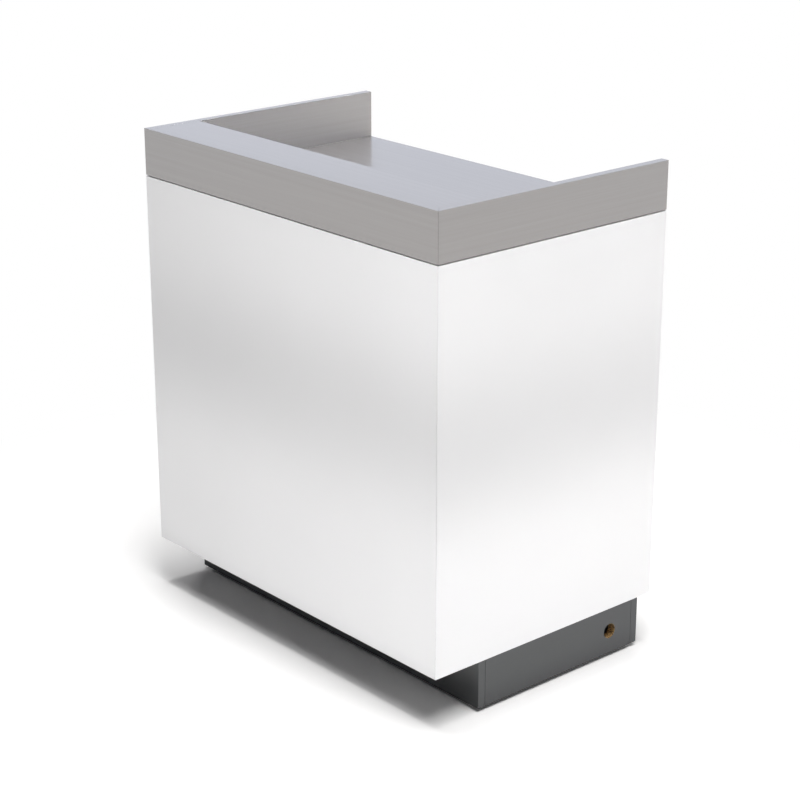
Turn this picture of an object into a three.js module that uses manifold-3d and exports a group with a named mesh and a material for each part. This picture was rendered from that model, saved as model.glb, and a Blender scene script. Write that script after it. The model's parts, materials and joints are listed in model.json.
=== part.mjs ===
// Reception desk: a laminated chipboard counter on a recessed plinth, with a raised gallery round its
// worktop and a drawer and shelves on the staff side.
// Millimetres, +Z up, z = 0 on the floor. Visitors stand at -Y and staff at +Y.

import * as THREE from 'three';
import { mergeVertices } from 'three/addons/utils/BufferGeometryUtils.js';
import Module from 'manifold-3d';

const wasm = await Module();
wasm.setup();

// The desk as a whole
const WIDTH = 900;
const DEPTH = 595;
const HEIGHT = 1020;
const BOARD = 18;
const SEAM = 0.3; // glue line between boards, and the play between pieces that seat on each other

// Gallery: the raised rim on the visitors' side and both ends, with a shelf for bags along its front
const GALLERY_HEIGHT = 100;
const LEDGE_DEPTH = 126;

// Plinth, drilled at one end for a cable, which comes up through a lined hole in the bottom panel
const PLINTH_HEIGHT = 100;
const PLINTH_FRONT_SETBACK = 112;
const PLINTH_REAR_SETBACK = 36;
const CABLE_HOLE = 32;
const CABLE_HOLE_FROM_REAR = 81;
const GROMMET_HOLE = 60;
const GROMMET_FROM_SIDE = 100;
const GROMMET_WALL = 2.5;
const GROMMET_RIM = 5;
const GROMMET_RIM_THICKNESS = 2;

// Screw feet in the corners of the plinth
const FLOOR_GAP = 8;
const FOOT_BLOCK = 44;
const FOOT_BLOCK_HEIGHT = 40;
const FOOT_DIAMETER = 36;
const FOOT_RIM = 3;
const FOOT_CHAMFER = 1;
const FOOT_HUB = 18;
const FOOT_SOCKET = 4.5;
const STEM_DIAMETER = 8;
const STEM_LENGTH = 50;
const STEM_CHAMFER = 0.8;
const STEM_SLOT_WIDTH = 1.2;
const STEM_SLOT_DEPTH = 2;

// Drawer bay, closed below by the deck, a fixed shelf hung on cam fittings
const DRAWER_BAY_WIDTH = 420;
const DRAWER_BAY_HEIGHT = 150;
const DECK_SETBACK = 20;
const CAM_DIAMETER = 15;
const CAM_HEIGHT = 12.5;
const CAM_FROM_END = 34;
const CAM_FROM_EDGE = 60;
const CAM_MOUTH = 7;
const CAM_BITE = 4; // how far the bolt's head reaches into the cam
const BOLT_DIAMETER = 5;
const BOLT_SEAT = 11;
const BOLT_HEAD = 6;
const BOLT_HEAD_LENGTH = 3;

// Adjustable shelf on four pins, with rows of spare holes for them
const SHELF_RISE = 290; // middle pin hole above the bottom panel
const SHELF_SETBACK = 60;
const SHELF_PLAY = 2;
const SHELF_FRONT_GAP = 5;
const PIN_DIAMETER = 5;
const PIN_SEAT = 10;
const PIN_REACH = 9;
const PIN_COLLAR = 7;
const PIN_COLLAR_THICKNESS = 1.2;
const PIN_PITCH = 32;
const PIN_HOLES = 5;
const PIN_FROM_EDGE = 70;

// Drawer and its handle
const DRAWER_RECESS = 40; // keeps the handle inside the staff edge
const DRAWER_REVEAL = 2;
const DRAWER_BOARD = 15;
const DRAWER_BOTTOM = 4;
const DRAWER_UNDERSIDE = 14; // above the deck
const DRAWER_TOP_SPACE = 22;
const DRAWER_BACK_SPACE = 69;
const HANDLE_CENTRES = 128;
const HANDLE_REACH = 28;
const HANDLE_LEG = 10;
const HANDLE_BAR = 8;
const HANDLE_HEIGHT = 12;
const HANDLE_CORNER = 10;
const SCREW_DIAMETER = 4;
const SCREW_HEAD = 8;
const SCREW_HEAD_THICKNESS = 2.4;
const SCREW_BITE = 12; // thread inside the handle's leg

// Roller runners, one pair each side of the drawer
const RUNNER_SPACE = 12.5;
const RUNNER_STEEL = 1.2;
const RUNNER_RAIL_HEIGHT = 31; // rail on the cabinet
const RUNNER_RAIL_DROP = 5; // its lower edge below the drawer's underside
const RUNNER_RAIL_LIP = 9.4;
const RUNNER_RAIL_TREAD = 10.2;
const RUNNER_ARM_HEIGHT = 18; // arm on the drawer, above the drawer's underside
const RUNNER_ARM_TREAD = 9.2;
const RUNNER_ARM_TOE = 15; // flange under the drawer's bottom
const RUNNER_FRONT_GAP = 3;
const ROLLER_DIAMETER = 15;
const ROLLER_WIDTH = 6;
const ROLLER_PLAY = 0.5;
const ROLLER_INSET = 12;
const AXLE_DIAMETER = 4;
const AXLE_HEAD = 6.4;
const AXLE_HEAD_THICKNESS = 1;

// Faces and levels that follow from them
const SIDE_X = WIDTH / 2;
const INNER_X = SIDE_X - BOARD;
const FRONT_Y = -DEPTH / 2;
const INNER_FRONT_Y = FRONT_Y + BOARD;
const STAFF_Y = DEPTH / 2;
const PLINTH_FRONT_Y = FRONT_Y + PLINTH_FRONT_SETBACK;
const PLINTH_REAR_Y = STAFF_Y - PLINTH_REAR_SETBACK;
const CABLE_Y = PLINTH_REAR_Y - CABLE_HOLE_FROM_REAR;
const CARCASS_BASE = FLOOR_GAP + PLINTH_HEIGHT + SEAM;
const WORK_LEVEL = HEIGHT - GALLERY_HEIGHT;
const DECK_TOP = WORK_LEVEL - BOARD - DRAWER_BAY_HEIGHT;
const DECK_STAFF_Y = STAFF_Y - DECK_SETBACK;
const BAY_LEFT = -INNER_X;
const PARTITION_X = BAY_LEFT + DRAWER_BAY_WIDTH;
const BETWEEN_SIDES = [-INNER_X + SEAM, INNER_X - SEAM];
const MITRE_BACK = SEAM * Math.SQRT1_2;
const PIN_Z = CARCASS_BASE + BOARD + SHELF_RISE;
const SHELF_SPAN_Y = [INNER_FRONT_Y + SHELF_FRONT_GAP, STAFF_Y - SHELF_SETBACK];
const PIN_ROWS_Y = [SHELF_SPAN_Y[0] + PIN_FROM_EDGE, SHELF_SPAN_Y[1] - PIN_FROM_EDGE];
const CAM_ROWS_Y = [INNER_FRONT_Y + CAM_FROM_EDGE, DECK_STAFF_Y - CAM_FROM_EDGE];
const BOX_FRONT = -BOARD - SEAM; // drawer box, measured from the face of the drawer front
const DRAWER_FACE_Y = STAFF_Y - DRAWER_RECESS;
const BOX_BACK = INNER_FRONT_Y + DRAWER_BACK_SPACE - DRAWER_FACE_Y;

// Facets of a full circle, on what shows and on small bores, and of a quarter bend
const ROUND = 24;
const SMALL_ROUND = 12;
const BEND_FACETS = 6;

const FINISHES = {
  whiteLaminate: { color: 0xeceaea, roughness: 0.3, metalness: 0 },
  aluminiumLaminate: { color: 0xa9a6a6, roughness: 0.35, metalness: 0.6 },
  anthraciteLaminate: { color: 0x5f5f60, roughness: 0.5, metalness: 0 },
  hardboard: { color: 0xe4e2de, roughness: 0.5, metalness: 0 },
  zincSteel: { color: 0xb9bcbf, roughness: 0.35, metalness: 0.9 },
  paintedSteel: { color: 0xe6e6e4, roughness: 0.4, metalness: 0.2 },
  satinAluminium: { color: 0xbfc0c2, roughness: 0.3, metalness: 0.9 },
  blackNylon: { color: 0x1c1c1d, roughness: 0.55, metalness: 0 },
  whiteNylon: { color: 0xf0efeb, roughness: 0.5, metalness: 0 },
};

const desk = new THREE.Group();

function group(x = 0, y = 0, z = 0) {
  const made = new THREE.Group();
  made.position.set(x, y, z);
  desk.add(made);
  return made;
}

function piece(parent, name, look, geometry, position = [0, 0, 0]) {
  const material = new THREE.MeshStandardMaterial({ ...FINISHES[look], flatShading: true });
  const mesh = new THREE.Mesh(geometry, material);
  mesh.name = name;
  mesh.position.set(...position);
  parent.add(mesh);
  return mesh;
}

// A square-edged board that fills the given spans.
function board(parent, name, look, ...spans) {
  const size = spans.map(([from, to]) => to - from);
  const middle = spans.map(([from, to]) => (from + to) / 2);
  return piece(parent, name, look, new THREE.BoxGeometry(...size), middle);
}

function outline(points) {
  return new THREE.Shape(points.map(([x, y]) => new THREE.Vector2(x, y)));
}

function rectangle([x0, x1], [y0, y1]) {
  return outline([[x0, y0], [x1, y0], [x1, y1], [x0, y1]]);
}

function roundHole(x, y, diameter) {
  return new THREE.Path().absarc(x, y, diameter / 2, 0, 2 * Math.PI);
}

// Each arc of the shape is drawn with the given number of facets.
function extrudeUp(shape, length, facets = ROUND) {
  const curveSegments = facets / 2;
  return new THREE.ExtrudeGeometry(shape, { depth: length, bevelEnabled: false, curveSegments });
}

// The shape's x and y become X and Z, and it runs from y = 0 back to y = -length.
function extrudeBack(shape, length, facets = ROUND) {
  return extrudeUp(shape, length, facets).rotateX(Math.PI / 2);
}

// The shape's x and y become Y and Z, and it runs from x = 0 to x = length.
function extrudeAcross(shape, length, facets = ROUND) {
  return extrudeBack(shape, length, facets).rotateZ(Math.PI / 2);
}

// Revolves radius and height pairs about Z.
function turned(profile, facets = ROUND) {
  const points = profile.map(([radius, along]) => new THREE.Vector2(radius, along));
  return new THREE.LatheGeometry(points, facets).rotateX(Math.PI / 2);
}

// Revolves radius and distance pairs about X; hand -1 points the axis to -X.
function turnedAcross(profile, hand, facets = SMALL_ROUND) {
  return turned(profile, facets).rotateY(hand * Math.PI / 2);
}

function cylinderAcross(diameter, from, to, y, z) {
  const rod = new THREE.CylinderGeometry(diameter / 2, diameter / 2, Math.abs(to - from), SMALL_ROUND);
  return rod.rotateZ(Math.PI / 2).translate((from + to) / 2, y, z);
}

function solidOf(geometry) {
  const bare = geometry.clone();
  bare.deleteAttribute('normal');
  bare.deleteAttribute('uv');
  const merged = mergeVertices(bare);
  const corners = merged.index.array;
  const triVerts = [];
  for (let i = 0; i < corners.length; i += 3) {
    const [a, b, c] = corners.slice(i, i + 3);
    if (a !== b && b !== c && c !== a) triVerts.push(a, b, c);
  }
  const vertProperties = merged.attributes.position.array;
  return new wasm.Manifold(
    new wasm.Mesh({ numProp: 3, vertProperties, triVerts: Uint32Array.from(triVerts) }),
  );
}

function geometryOf(solid) {
  const { vertProperties, triVerts } = solid.getMesh();
  const geometry = new THREE.BufferGeometry();
  geometry.setAttribute('position', new THREE.BufferAttribute(vertProperties, 3));
  geometry.setIndex(new THREE.BufferAttribute(triVerts, 1));
  return geometry;
}

function cut(geometry, tools) {
  return geometryOf(tools.reduce((solid, tool) => solid.subtract(solidOf(tool)), solidOf(geometry)));
}

function join(geometry, other) {
  return geometryOf(solidOf(geometry).add(solidOf(other)));
}

// Plan of a board across the visitors' side, mitred at both ends, its outer face on y = 0.
function mitredFront() {
  const outer = SIDE_X - MITRE_BACK;
  const inner = outer - BOARD;
  return outline([[-outer, 0], [outer, 0], [inner, BOARD], [-inner, BOARD]]);
}

// Plan of an end board, mitred at the visitors' side, its outer face on x = 0. Hand +1 is the +X end.
function mitredEnd(hand) {
  return outline([
    [0, MITRE_BACK],
    [0, DEPTH],
    [-hand * BOARD, DEPTH],
    [-hand * BOARD, BOARD + MITRE_BACK],
  ]);
}

const ENDS = [['left', -1], ['right', 1]];

function addPlinth() {
  const plinth = group(0, 0, FLOOR_GAP);
  const upright = [0, PLINTH_HEIGHT];
  const acrossX = [-SIDE_X, SIDE_X];
  const look = 'anthraciteLaminate';
  board(plinth, 'plinth_front', look, acrossX, [PLINTH_FRONT_Y, PLINTH_FRONT_Y + BOARD], upright);
  board(plinth, 'plinth_rear', look, acrossX, [PLINTH_REAR_Y - BOARD, PLINTH_REAR_Y], upright);
  const between = [PLINTH_FRONT_Y + BOARD + SEAM, PLINTH_REAR_Y - BOARD - SEAM];
  board(plinth, 'plinth_side_left', look, [-SIDE_X, -INNER_X], between, upright);
  const drilled = rectangle(between, upright);
  drilled.holes.push(roundHole(CABLE_Y, PLINTH_HEIGHT / 2, CABLE_HOLE));
  piece(plinth, 'plinth_side_right', look, extrudeAcross(drilled, BOARD), [INNER_X, 0, 0]);
}

function addFeet() {
  const inset = BOARD + SEAM + FOOT_BLOCK / 2;
  const rows = [['front', PLINTH_FRONT_Y + inset], ['rear', PLINTH_REAR_Y - inset]];
  const bore = STEM_DIAMETER + 2 * SEAM;
  const halfBlock = [-FOOT_BLOCK / 2, FOOT_BLOCK / 2];
  const padTop = FLOOR_GAP - SEAM;
  const socketFloor = padTop - FOOT_SOCKET;
  const rim = FOOT_DIAMETER / 2;
  const pad = [
    [0, 0],
    [rim - FOOT_CHAMFER, 0],
    [rim, FOOT_CHAMFER],
    [rim, FOOT_RIM],
    [FOOT_HUB / 2, padTop],
    [bore / 2, padTop],
    [bore / 2, socketFloor],
    [0, socketFloor],
  ];
  const thread = STEM_DIAMETER / 2;
  const stem = [
    [0, 0],
    [thread - STEM_CHAMFER, 0],
    [thread, STEM_CHAMFER],
    [thread, STEM_LENGTH - STEM_CHAMFER],
    [thread - STEM_CHAMFER, STEM_LENGTH],
    [0, STEM_LENGTH],
  ];
  for (const [row, y] of rows) {
    for (const [end, hand] of ENDS) {
      const foot = group(hand * (SIDE_X - inset), y, 0);
      const block = rectangle(halfBlock, halfBlock);
      block.holes.push(roundHole(0, 0, bore));
      const blockSolid = extrudeUp(block, FOOT_BLOCK_HEIGHT, SMALL_ROUND);
      piece(foot, `foot_block_${row}_${end}`, 'blackNylon', blockSolid, [0, 0, FLOOR_GAP]);
      piece(foot, `foot_pad_${row}_${end}`, 'blackNylon', turned(pad));
      const slot = new THREE.BoxGeometry(STEM_DIAMETER * 2, STEM_SLOT_WIDTH, STEM_SLOT_DEPTH * 2);
      const slotted = cut(turned(stem, SMALL_ROUND), [slot.translate(0, 0, STEM_LENGTH)]);
      piece(foot, `foot_stem_${row}_${end}`, 'zincSteel', slotted, [0, 0, socketFloor + SEAM]);
    }
  }
}

function addCarcass() {
  const carcass = group(0, 0, CARCASS_BASE);
  const height = WORK_LEVEL - CARCASS_BASE;
  const look = 'whiteLaminate';
  piece(carcass, 'front_panel', look, extrudeUp(mitredFront(), height), [0, FRONT_Y, 0]);

  const bottom = rectangle(BETWEEN_SIDES, [INNER_FRONT_Y + SEAM, STAFF_Y]);
  bottom.holes.push(roundHole(INNER_X - GROMMET_FROM_SIDE, CABLE_Y, GROMMET_HOLE));
  piece(carcass, 'bottom_panel', look, extrudeUp(bottom, BOARD));

  // Pin holes and the holes of the deck's bolts are bored from the inner face.
  const pinDepth = PIN_SEAT + SEAM;
  const boltDepth = BOLT_SEAT + SEAM;
  for (const [end, hand] of ENDS) {
    const face = hand * INNER_X;
    const bores = [];
    for (const y of PIN_ROWS_Y) {
      for (let i = 0; i < PIN_HOLES; i += 1) {
        const z = PIN_Z - CARCASS_BASE + (i - (PIN_HOLES - 1) / 2) * PIN_PITCH;
        const diameter = PIN_DIAMETER + 2 * SEAM;
        bores.push(cylinderAcross(diameter, face - hand * BOARD, face + hand * pinDepth, y, z));
      }
    }
    for (const y of CAM_ROWS_Y) {
      const z = DECK_TOP - BOARD / 2 - CARCASS_BASE;
      const diameter = BOLT_DIAMETER + 2 * SEAM;
      bores.push(cylinderAcross(diameter, face - hand * BOARD, face + hand * boltDepth, y, z));
    }
    const panel = extrudeUp(mitredEnd(hand), height).translate(hand * SIDE_X, FRONT_Y, 0);
    piece(carcass, `side_panel_${end}`, look, cut(panel, bores));
  }
}

function addWorktopAndGallery() {
  const span = [INNER_FRONT_Y + SEAM, STAFF_Y];
  const look = 'aluminiumLaminate';
  board(desk, 'worktop', look, BETWEEN_SIDES, span, [WORK_LEVEL - BOARD, WORK_LEVEL]);

  const gallery = group(0, 0, WORK_LEVEL + SEAM);
  const rise = GALLERY_HEIGHT - SEAM;
  piece(gallery, 'gallery_front', look, extrudeUp(mitredFront(), rise), [0, FRONT_Y, 0]);
  for (const [end, hand] of ENDS) {
    const upstand = extrudeUp(mitredEnd(hand), rise);
    piece(gallery, `gallery_side_${end}`, look, upstand, [hand * SIDE_X, FRONT_Y, 0]);
  }
  const ledgeBack = FRONT_Y + LEDGE_DEPTH;
  const ledgeTop = [rise - BOARD, rise];
  board(gallery, 'ledge_top', look, BETWEEN_SIDES, [INNER_FRONT_Y + SEAM, ledgeBack], ledgeTop);
  const under = [0, rise - BOARD - SEAM];
  board(gallery, 'ledge_back', look, BETWEEN_SIDES, [ledgeBack - BOARD, ledgeBack], under);
}

function addGrommet() {
  const outer = GROMMET_HOLE / 2 - SEAM;
  const bore = outer - GROMMET_WALL;
  const rim = GROMMET_HOLE / 2 + GROMMET_RIM;
  const seat = BOARD + SEAM;
  const rimTop = seat + GROMMET_RIM_THICKNESS;
  const ring = [[bore, 0], [outer, 0], [outer, seat], [rim, seat], [rim, rimTop], [bore, rimTop], [bore, 0]];
  const place = [INNER_X - GROMMET_FROM_SIDE, CABLE_Y, CARCASS_BASE];
  piece(desk, 'cable_grommet', 'blackNylon', turned(ring), place);
}

// The fixed shelf under the drawer. Each bolt screws into an end panel, and its head sits in the mouth of
// a cam let into the deck's underside.
function addDeck() {
  const underside = DECK_TOP - BOARD;
  const axis = BOARD / 2;
  const span = [INNER_FRONT_Y + SEAM, DECK_STAFF_Y];
  const pocket = CAM_DIAMETER / 2 + SEAM;
  const pocketDepth = CAM_HEIGHT + SEAM;
  const boltReach = CAM_FROM_END - CAM_DIAMETER / 2 + CAM_BITE;
  const tools = [];
  const bolt = [
    [0, -BOLT_SEAT],
    [BOLT_DIAMETER / 2, -BOLT_SEAT],
    [BOLT_DIAMETER / 2, boltReach - BOLT_HEAD_LENGTH],
    [BOLT_HEAD / 2, boltReach - BOLT_HEAD_LENGTH],
    [BOLT_HEAD / 2, boltReach],
    [0, boltReach],
  ];
  const deck = group(0, 0, underside);
  const names = ['front', 'rear'];
  for (const [end, hand] of ENDS) {
    CAM_ROWS_Y.forEach((y, i) => {
      const deckEnd = hand * (INNER_X - SEAM);
      const camX = deckEnd - hand * CAM_FROM_END;
      const well = new THREE.CylinderGeometry(pocket, pocket, 2 * pocketDepth, ROUND);
      tools.push(well.rotateX(Math.PI / 2).translate(camX, y, 0));
      tools.push(cylinderAcross(BOLT_HEAD + 2 * SEAM, deckEnd + hand * BOARD, camX, y, axis));

      const disc = [[0, 0], [CAM_DIAMETER / 2, 0], [CAM_DIAMETER / 2, CAM_HEIGHT], [0, CAM_HEIGHT]];
      const mouthHeight = CAM_HEIGHT;
      const mouth = new THREE.BoxGeometry(CAM_DIAMETER, CAM_MOUTH, mouthHeight);
      const mouthX = hand * (CAM_DIAMETER - CAM_BITE - SEAM);
      const opening = mouth.translate(mouthX, 0, axis - CAM_MOUTH / 2 + mouthHeight / 2);
      const cam = cut(turned(disc), [opening]);
      piece(deck, `deck_cam_${names[i]}_${end}`, 'zincSteel', cam, [camX, y, 0]);
      const boltSolid = turnedAcross(bolt, -hand);
      piece(deck, `deck_bolt_${names[i]}_${end}`, 'zincSteel', boltSolid, [hand * INNER_X, y, axis]);
    });
  }
  const slab = extrudeUp(rectangle(BETWEEN_SIDES, span), BOARD);
  piece(deck, 'deck', 'whiteLaminate', cut(slab, tools));

  const upright = [DECK_TOP + SEAM, WORK_LEVEL - BOARD - SEAM];
  board(desk, 'drawer_partition', 'whiteLaminate', [PARTITION_X, PARTITION_X + BOARD], span, upright);
}

function addShelf() {
  const radius = PIN_DIAMETER / 2;
  const collarEnd = SEAM + PIN_COLLAR_THICKNESS;
  const pin = [
    [0, -PIN_SEAT],
    [radius, -PIN_SEAT],
    [radius, SEAM],
    [PIN_COLLAR / 2, SEAM],
    [PIN_COLLAR / 2, collarEnd],
    [radius, collarEnd],
    [radius, PIN_REACH],
    [0, PIN_REACH],
  ];
  const names = ['front', 'rear'];
  for (const [end, hand] of ENDS) {
    PIN_ROWS_Y.forEach((y, i) => {
      const pinSolid = turnedAcross(pin, -hand);
      piece(desk, `shelf_pin_${names[i]}_${end}`, 'zincSteel', pinSolid, [hand * INNER_X, y, PIN_Z]);
    });
  }
  const acrossX = [-INNER_X + SHELF_PLAY, INNER_X - SHELF_PLAY];
  const seat = PIN_Z + radius + SEAM;
  board(desk, 'adjustable_shelf', 'whiteLaminate', acrossX, SHELF_SPAN_Y, [seat, seat + BOARD]);
}

// Outline of a runner in the gap beside the drawer: distance from the bay's wall, height above the drawer's
// underside. Hand +1 stands on the bay's left wall.
function runnerOutline(points, hand) {
  return outline(points.map(([away, up]) => [hand * away, up]));
}

// An axle along X that starts inside its steel and ends in a head past the roller.
function axle(hand) {
  const tip = RUNNER_STEEL + 2 * ROLLER_PLAY + ROLLER_WIDTH;
  return turnedAcross([
    [0, RUNNER_STEEL / 2],
    [AXLE_DIAMETER / 2, RUNNER_STEEL / 2],
    [AXLE_DIAMETER / 2, tip],
    [AXLE_HEAD / 2, tip],
    [AXLE_HEAD / 2, tip + AXLE_HEAD_THICKNESS],
    [0, tip + AXLE_HEAD_THICKNESS],
  ], hand);
}

function roller(hand) {
  const bore = AXLE_DIAMETER / 2 + SEAM;
  const rim = ROLLER_DIAMETER / 2;
  const near = RUNNER_STEEL + ROLLER_PLAY;
  const far = near + ROLLER_WIDTH;
  return turnedAcross([[bore, near], [rim, near], [rim, far], [bore, far], [bore, near]], hand, ROUND);
}

function addRunners(bay) {
  const railFoot = -RUNNER_RAIL_DROP;
  const railHead = railFoot + RUNNER_RAIL_HEIGHT;
  const railWeb = SEAM + RUNNER_STEEL;
  const rail = [
    [SEAM, railFoot],
    [SEAM + RUNNER_RAIL_TREAD, railFoot],
    [SEAM + RUNNER_RAIL_TREAD, railFoot + RUNNER_STEEL],
    [railWeb, railFoot + RUNNER_STEEL],
    [railWeb, railHead - RUNNER_STEEL],
    [SEAM + RUNNER_RAIL_LIP, railHead - RUNNER_STEEL],
    [SEAM + RUNNER_RAIL_LIP, railHead],
    [SEAM, railHead],
  ];
  const armOut = RUNNER_SPACE - SEAM;
  const armWeb = armOut - RUNNER_STEEL;
  const armFoot = -SEAM - RUNNER_STEEL;
  const armTread = RUNNER_ARM_HEIGHT - RUNNER_STEEL;
  const arm = [
    [armWeb, armFoot],
    [armOut + RUNNER_ARM_TOE, armFoot],
    [armOut + RUNNER_ARM_TOE, -SEAM],
    [armOut, -SEAM],
    [armOut, RUNNER_ARM_HEIGHT],
    [armOut - RUNNER_ARM_TREAD, RUNNER_ARM_HEIGHT],
    [armOut - RUNNER_ARM_TREAD, armTread],
    [armWeb, armTread],
  ];
  const radius = ROLLER_DIAMETER / 2;
  const railFront = BOX_FRONT - RUNNER_FRONT_GAP;
  const armFront = BOX_FRONT - SEAM;
  const frontRoller = [railFront - ROLLER_INSET, armTread - SEAM - radius];
  const rearRoller = [BOX_BACK + ROLLER_INSET, railFoot + RUNNER_STEEL + SEAM + radius];
  for (const [end, hand] of [['left', 1], ['right', -1]]) {
    const wall = hand > 0 ? 0 : DRAWER_BAY_WIDTH;
    const runner = new THREE.Group();
    runner.position.set(wall, 0, DRAWER_UNDERSIDE);
    bay.add(runner);

    const [frontY, frontZ] = frontRoller;
    const railSteel = extrudeBack(runnerOutline(rail, hand), railFront - BOX_BACK).translate(0, railFront, 0);
    const frontAxle = axle(hand).translate(hand * SEAM, frontY, frontZ);
    piece(runner, `runner_rail_${end}`, 'paintedSteel', join(railSteel, frontAxle));
    const frontName = `runner_roller_front_${end}`;
    piece(runner, frontName, 'whiteNylon', roller(hand), [hand * SEAM, frontY, frontZ]);

    const [rearY, rearZ] = rearRoller;
    const armSteel = extrudeBack(runnerOutline(arm, hand), armFront - BOX_BACK).translate(0, armFront, 0);
    const rearAxle = axle(-hand).translate(hand * armOut, rearY, rearZ);
    piece(runner, `runner_arm_${end}`, 'paintedSteel', join(armSteel, rearAxle));
    const rearName = `runner_roller_rear_${end}`;
    piece(runner, rearName, 'whiteNylon', roller(-hand), [hand * armOut, rearY, rearZ]);
  }
}

// Plan of the bow handle, its feet on y = 0.
function handlePlan() {
  const outerX = (HANDLE_CENTRES + HANDLE_LEG) / 2;
  const innerX = (HANDLE_CENTRES - HANDLE_LEG) / 2;
  const innerY = HANDLE_REACH - HANDLE_BAR;
  const innerCorner = HANDLE_CORNER / 2;
  const shape = new THREE.Shape();
  shape.moveTo(innerX, 0);
  shape.lineTo(outerX, 0);
  shape.absarc(outerX - HANDLE_CORNER, HANDLE_REACH - HANDLE_CORNER, HANDLE_CORNER, 0, Math.PI / 2);
  shape.absarc(HANDLE_CORNER - outerX, HANDLE_REACH - HANDLE_CORNER, HANDLE_CORNER, Math.PI / 2, Math.PI);
  shape.lineTo(-outerX, 0);
  shape.lineTo(-innerX, 0);
  shape.absarc(innerCorner - innerX, innerY - innerCorner, innerCorner, Math.PI, Math.PI / 2, true);
  shape.absarc(innerX - innerCorner, innerY - innerCorner, innerCorner, Math.PI / 2, 0, true);
  return shape;
}

function addHandle(bay, middleX, middleZ) {
  const bores = [-1, 1].map((side) => {
    const radius = SCREW_DIAMETER / 2 + SEAM;
    const bore = new THREE.CylinderGeometry(radius, radius, 2 * (SCREW_BITE + SEAM), SMALL_ROUND);
    return bore.translate(side * HANDLE_CENTRES / 2, 0, HANDLE_HEIGHT / 2);
  });
  const bow = cut(extrudeUp(handlePlan(), HANDLE_HEIGHT, BEND_FACETS), bores);
  const handlePlace = [middleX, SEAM, middleZ - HANDLE_HEIGHT / 2];
  piece(bay, 'drawer_handle', 'satinAluminium', bow, handlePlace);

  const seat = -BOARD - SEAM;
  const tip = SEAM + SCREW_BITE;
  const profile = [
    [0, seat - SCREW_HEAD_THICKNESS],
    [SCREW_HEAD / 2, seat - SCREW_HEAD_THICKNESS],
    [SCREW_HEAD / 2, seat],
    [SCREW_DIAMETER / 2, seat],
    [SCREW_DIAMETER / 2, tip],
    [0, tip],
  ];
  const points = profile.map(([radius, along]) => new THREE.Vector2(radius, along));
  for (const [end, side] of ENDS) {
    const screw = new THREE.LatheGeometry(points, SMALL_ROUND);
    const place = [middleX + side * HANDLE_CENTRES / 2, 0, middleZ];
    piece(bay, `handle_screw_${end}`, 'zincSteel', screw, place);
  }
}

function addDrawer() {
  const bay = group(BAY_LEFT, DRAWER_FACE_Y, DECK_TOP);
  const look = 'whiteLaminate';
  const middleX = DRAWER_BAY_WIDTH / 2;
  const middleZ = DRAWER_BAY_HEIGHT / 2;

  const faceX = [DRAWER_REVEAL, DRAWER_BAY_WIDTH - DRAWER_REVEAL];
  const face = rectangle(faceX, [DRAWER_REVEAL, DRAWER_BAY_HEIGHT - DRAWER_REVEAL]);
  for (const side of [-1, 1]) {
    const x = middleX + side * HANDLE_CENTRES / 2;
    face.holes.push(roundHole(x, middleZ, SCREW_DIAMETER + 2 * SEAM));
  }
  piece(bay, 'drawer_front', look, extrudeBack(face, BOARD, SMALL_ROUND));
  addHandle(bay, middleX, middleZ);

  const acrossX = [RUNNER_SPACE, DRAWER_BAY_WIDTH - RUNNER_SPACE];
  const along = [BOX_BACK, BOX_FRONT];
  const floorTop = DRAWER_UNDERSIDE + DRAWER_BOTTOM;
  const upright = [floorTop + SEAM, DRAWER_BAY_HEIGHT - DRAWER_TOP_SPACE];
  board(bay, 'drawer_bottom', 'hardboard', acrossX, along, [DRAWER_UNDERSIDE, floorTop]);
  board(bay, 'drawer_side_left', look, [acrossX[0], acrossX[0] + DRAWER_BOARD], along, upright);
  board(bay, 'drawer_side_right', look, [acrossX[1] - DRAWER_BOARD, acrossX[1]], along, upright);
  const inside = [acrossX[0] + DRAWER_BOARD + SEAM, acrossX[1] - DRAWER_BOARD - SEAM];
  board(bay, 'drawer_back', look, inside, [BOX_BACK, BOX_BACK + DRAWER_BOARD], upright);
  addRunners(bay);
}

addPlinth();
addFeet();
addCarcass();
addWorktopAndGallery();
addGrommet();
addDeck();
addShelf();
addDrawer();

export default desk;
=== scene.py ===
# %% [markdown]
# # A reception desk, dressed
# The desk is a counter of laminated chipboard boards, with a rim that looks like brushed aluminium.
# Its solids arrive as a fixed frame at their real size. This lesson gives each of them its finished
# shape and surface, board by board and fitting by fitting, and lights it as a plain studio would.

# %% The frame
import json
import math

import bmesh
import bpy
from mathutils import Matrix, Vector


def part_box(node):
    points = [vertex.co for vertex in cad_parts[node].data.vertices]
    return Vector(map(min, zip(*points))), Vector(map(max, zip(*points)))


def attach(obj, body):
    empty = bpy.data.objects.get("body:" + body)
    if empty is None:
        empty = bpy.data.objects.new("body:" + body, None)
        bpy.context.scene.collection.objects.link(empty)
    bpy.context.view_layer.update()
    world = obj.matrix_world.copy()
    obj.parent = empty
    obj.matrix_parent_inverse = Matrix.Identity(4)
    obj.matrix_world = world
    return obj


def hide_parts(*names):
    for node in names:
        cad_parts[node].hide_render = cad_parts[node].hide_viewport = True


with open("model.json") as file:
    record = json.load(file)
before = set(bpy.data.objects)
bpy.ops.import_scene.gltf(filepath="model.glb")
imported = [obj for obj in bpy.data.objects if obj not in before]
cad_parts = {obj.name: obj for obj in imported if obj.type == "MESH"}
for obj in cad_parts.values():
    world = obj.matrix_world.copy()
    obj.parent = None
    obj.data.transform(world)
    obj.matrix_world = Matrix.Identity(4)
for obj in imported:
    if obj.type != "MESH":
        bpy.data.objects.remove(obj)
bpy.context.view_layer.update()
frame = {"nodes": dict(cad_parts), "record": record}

MM = 0.001
record = frame["record"]
body_of = {node: body for body, nodes in record["behaviour"]["bodies"].items() for node in nodes}

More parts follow.
